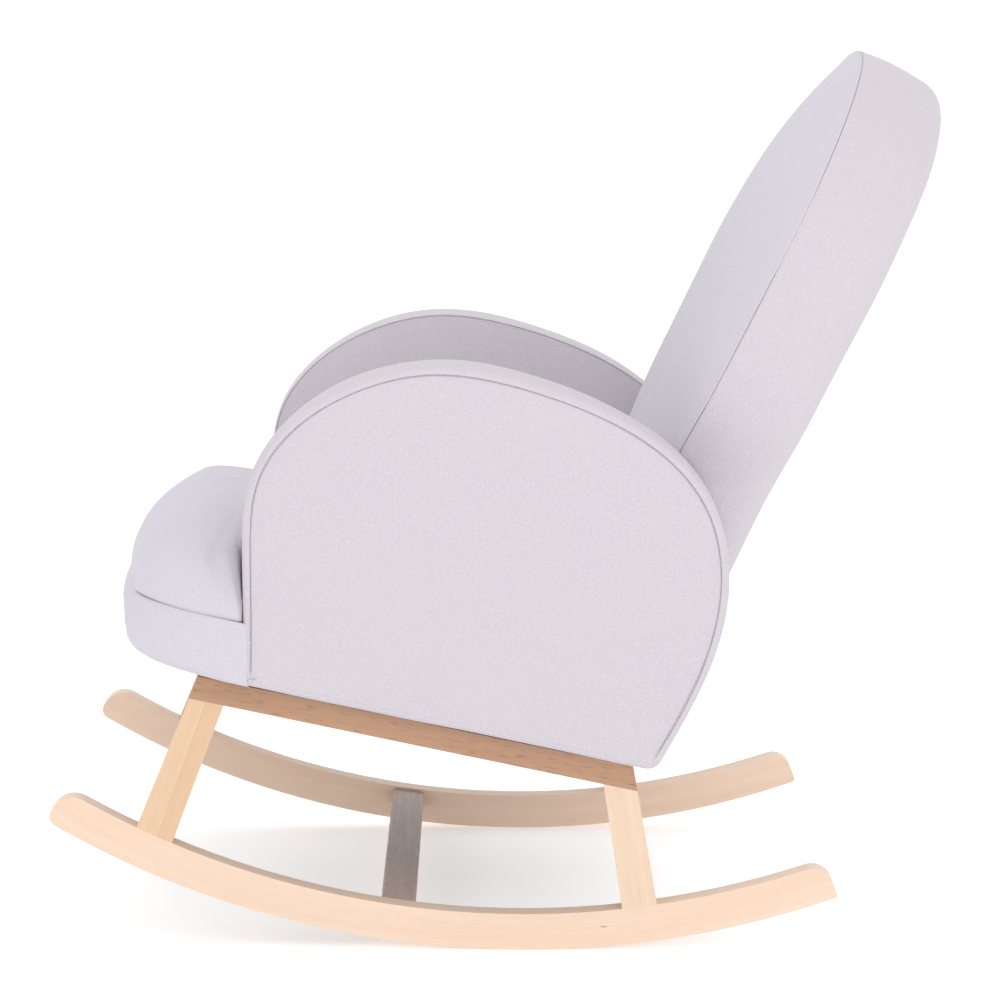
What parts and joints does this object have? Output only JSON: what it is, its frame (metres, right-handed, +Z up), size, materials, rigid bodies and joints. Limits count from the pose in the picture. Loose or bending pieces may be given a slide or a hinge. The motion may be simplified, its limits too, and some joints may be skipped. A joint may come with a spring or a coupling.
{
  "type": "rocking chair",
  "caption": "Upholstered rocking armchair: arched reclined backrest, half-round arms and bow-front seat on a light wood base with two bent rockers.",
  "frame": {"origin": "floor level, under the middle of the chair's bounding box, with the chair at rest on both rockers", "axes": "+Z up, +X to the sitter's left, +Y to the rear (the sitter faces -Y)"},
  "size_m": [0.616, 0.9824, 0.9643],
  "materials": {
    "woven_fabric": "pale pinkish grey textured weave, matt",
    "rocker_wood": "pale beech, clear matt lacquer",
    "leg_wood": "pale beech, clear matt lacquer",
    "rail_wood": "open-grained tan hardwood, clear matt lacquer",
    "stretcher_wood": "greyish brown hardwood, matt lacquer",
    "dowel_wood": "plain beech",
    "frame_timber": "sawn softwood",
    "plywood": "birch plywood",
    "black_strip": "black powder coat",
    "zinc_steel": "zinc plated",
    "spring_steel": "oiled spring steel",
    "black_lining": "black non-woven lining",
    "webbing": "elastic upholstery webbing",
    "felt_pad": "grey needle felt",
    "foam": "cut polyurethane foam"
  },
  "bodies": {
    "root": {"arm_base_rail_left": "frame_timber", "arm_base_rail_right": "frame_timber", "arm_cover_left": "woven_fabric", "arm_cover_right": "woven_fabric", "arm_foam_left": "foam", "arm_foam_right": "foam", "arm_inner_panel_left": "plywood", "arm_inner_panel_right": "plywood", "arm_outer_panel_left": "plywood", "arm_outer_panel_right": "plywood", "arm_uprights_left": "frame_timber", "arm_uprights_right": "frame_timber", "back_bolts": "zinc_steel", "back_cover": "woven_fabric", "back_foam": "foam", "back_lower_rail": "frame_timber", "back_middle_rail": "frame_timber", "back_post_left": "frame_timber", "back_post_right": "frame_timber", "back_top_bow": "plywood", "back_webbing": "webbing", "corner_blocks": "frame_timber", "dust_cover": "black_lining", "front_band_cover": "woven_fabric", "front_band_foam": "foam", "front_bow_panel": "plywood", "front_deck": "plywood", "front_leg_left": "leg_wood", "front_leg_right": "leg_wood", "leg_dowels": "dowel_wood", "mounting_bolts": "zinc_steel", "mounting_strip_left": "black_strip", "mounting_strip_right": "black_strip", "outside_back_panel": "woven_fabric", "rear_leg_left": "leg_wood", "rear_leg_right": "leg_wood", "rear_skirt": "woven_fabric", "rocker_left": "rocker_wood", "rocker_right": "rocker_wood", "seat_cover": "woven_fabric", "seat_foam": "foam", "seat_front_rail": "frame_timber", "seat_rear_rail": "frame_timber", "seat_side_rail_left": "frame_timber", "seat_side_rail_right": "frame_timber", "seat_springs": "spring_steel", "side_rail_left": "rail_wood", "side_rail_right": "rail_wood", "spring_pad": "felt_pad", "stretcher": "stretcher_wood", "stretcher_dowels": "dowel_wood", "tee_nuts": "zinc_steel"}
  },
  "joints": []
}
